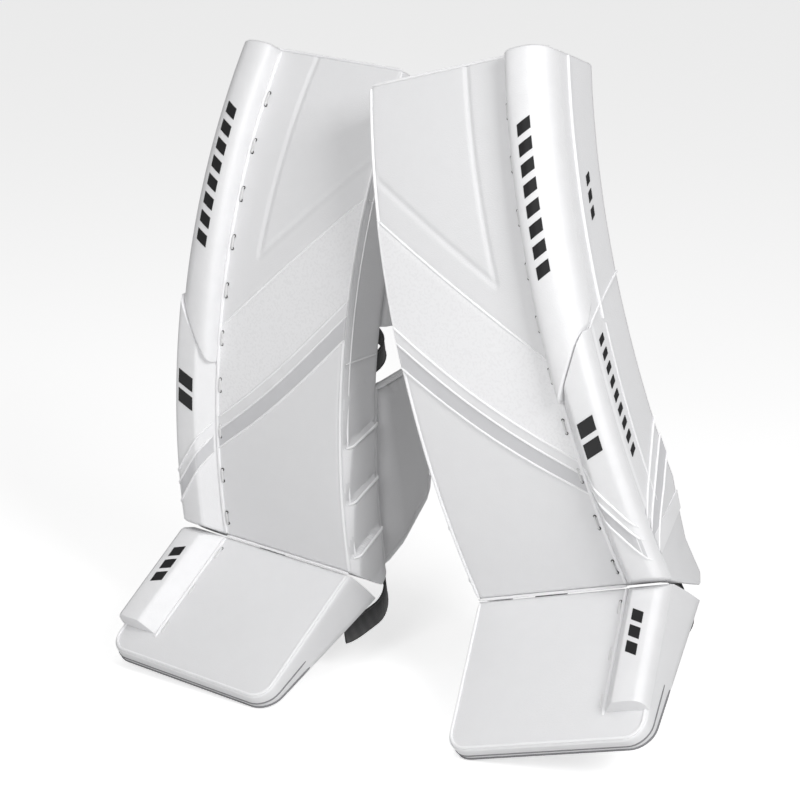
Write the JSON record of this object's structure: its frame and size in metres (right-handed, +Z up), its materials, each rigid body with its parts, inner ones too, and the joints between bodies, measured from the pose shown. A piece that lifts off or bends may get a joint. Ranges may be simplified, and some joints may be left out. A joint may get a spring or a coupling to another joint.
{
  "type": "goalie leg pads",
  "caption": "Ice-hockey goalie leg pads: a mirrored pair with curved padded faces, outer rolls, hinged boots, calf wings and strap closures",
  "frame": {"origin": "on the floor, under the centre of the pair's bounding box", "axes": "+Z up, -Y to the front that the pads face, +X to the wearer's left pad"},
  "size_m": [0.822, 0.3934, 0.8776],
  "materials": {
    "white_leather": "smooth synthetic leather, satin",
    "roll_leather": "smooth synthetic leather, satin",
    "foam": "closed-cell foam, matte",
    "white_lace": "woven cord",
    "liner_fabric": "brushed nylon lining, matte",
    "black_webbing": "woven nylon webbing",
    "black_plastic": "moulded, satin",
    "black_cord": "braided elastic cord"
  },
  "bodies": {
    "left_shin": {"left_shin_core": "foam", "left_shin_face": "white_leather", "left_shin_casing": "white_leather", "left_lower_roll": "roll_leather", "left_shin_laces": "white_lace", "left_shin_ribs": "white_leather", "left_shin_lining": "liner_fabric", "left_knee_strap": "black_webbing", "left_boot_strap": "black_webbing", "left_strap_rings": "black_plastic"},
    "left_thigh": {"left_thigh_core": "foam", "left_thigh_face": "white_leather", "left_thigh_casing": "white_leather", "left_top_binding": "white_leather", "left_upper_roll": "roll_leather", "left_thigh_laces": "white_lace", "left_knee_stack": "white_leather", "left_thigh_lining": "liner_fabric"},
    "left_boot": {"left_boot_core": "foam", "left_boot_face": "white_leather", "left_boot_casing": "white_leather", "left_boot_roll": "roll_leather", "left_boot_laces": "white_lace", "left_toe_bridge": "black_plastic"},
    "left_inner_wing": {"left_inner_wing": "white_leather"},
    "left_outer_wing": {"left_outer_wing": "white_leather", "left_calf_strap": "black_webbing"},
    "left_toe_cord": {"left_toe_cord": "black_cord"},
    "right_shin": {"right_shin_core": "foam", "right_shin_face": "white_leather", "right_shin_casing": "white_leather", "right_lower_roll": "roll_leather", "right_shin_laces": "white_lace", "right_shin_ribs": "white_leather", "right_shin_lining": "liner_fabric", "right_knee_strap": "black_webbing", "right_boot_strap": "black_webbing", "right_strap_rings": "black_plastic"},
    "right_thigh": {"right_thigh_core": "foam", "right_thigh_face": "white_leather", "right_thigh_casing": "white_leather", "right_top_binding": "white_leather", "right_upper_roll": "roll_leather", "right_thigh_laces": "white_lace", "right_knee_stack": "white_leather", "right_thigh_lining": "liner_fabric"},
    "right_boot": {"right_boot_core": "foam", "right_boot_face": "white_leather", "right_boot_casing": "white_leather", "right_boot_roll": "roll_leather", "right_boot_laces": "white_lace", "right_toe_bridge": "black_plastic"},
    "right_inner_wing": {"right_inner_wing": "white_leather"},
    "right_outer_wing": {"right_outer_wing": "white_leather", "right_calf_strap": "black_webbing"},
    "right_toe_cord": {"right_toe_cord": "black_cord"}
  },
  "joints": [
    {"name": "pads_apart", "type": "slide", "parent": "left_shin", "child": "right_shin", "axis": [-1, 0, 0], "range_m": [0, 0.15]},
    {"name": "left_knee_flex", "type": "hinge", "parent": "left_shin", "child": "left_thigh", "pos_m": [0.15732, -0.0913, 0.47277], "axis": [0.9635, 0.0702, 0.2585], "range_deg": [-6, 3]},
    {"name": "left_boot_flex", "type": "hinge", "parent": "left_shin", "child": "left_boot", "pos_m": [0.22779, -0.02712, 0.19268], "axis": [0.9635, 0.0702, 0.2585], "range_deg": [-10, 8]},
    {"name": "left_toe_cord_swing", "type": "hinge", "parent": "left_boot", "child": "left_toe_cord", "pos_m": [0.26898, -0.09863, 0.05859], "axis": [0.9635, 0.0702, 0.2585], "range_deg": [-25, 25]},
    {"name": "left_inner_wing_fold", "type": "hinge", "parent": "left_shin", "child": "left_inner_wing", "pos_m": [0.10121, 0.05466, 0.15865], "axis": [-0.2328, -0.2579, 0.9377], "range_deg": [0, 20]},
    {"name": "left_outer_wing_fold", "type": "hinge", "parent": "left_shin", "child": "left_outer_wing", "pos_m": [0.32329, 0.07085, 0.21823], "axis": [0.2328, 0.2579, -0.9377], "range_deg": [0, 25]},
    {"name": "right_knee_flex", "type": "hinge", "parent": "right_shin", "child": "right_thigh", "pos_m": [-0.24517, -0.04146, 0.44897], "axis": [0.9966, -0.0702, -0.0424], "range_deg": [-6, 3]},
    {"name": "right_boot_flex", "type": "hinge", "parent": "right_shin", "child": "right_boot", "pos_m": [-0.25601, -0.01741, 0.15428], "axis": [0.9966, -0.0702, -0.0424], "range_deg": [-10, 8]},
    {"name": "right_toe_cord_swing", "type": "hinge", "parent": "right_boot", "child": "right_toe_cord", "pos_m": [-0.26782, -0.10744, 0.02565], "axis": [0.9966, -0.0702, -0.0424], "range_deg": [-25, 25]},
    {"name": "right_inner_wing_fold", "type": "hinge", "parent": "right_shin", "child": "right_inner_wing", "pos_m": [-0.12566, 0.0635, 0.1362], "axis": [-0.0335, 0.1232, -0.9918], "range_deg": [0, 20]},
    {"name": "right_outer_wing_fold", "type": "hinge", "parent": "right_shin", "child": "right_outer_wing", "pos_m": [-0.35538, 0.07968, 0.14597], "axis": [0.0335, -0.1232, 0.9918], "range_deg": [0, 25]}
  ]
}
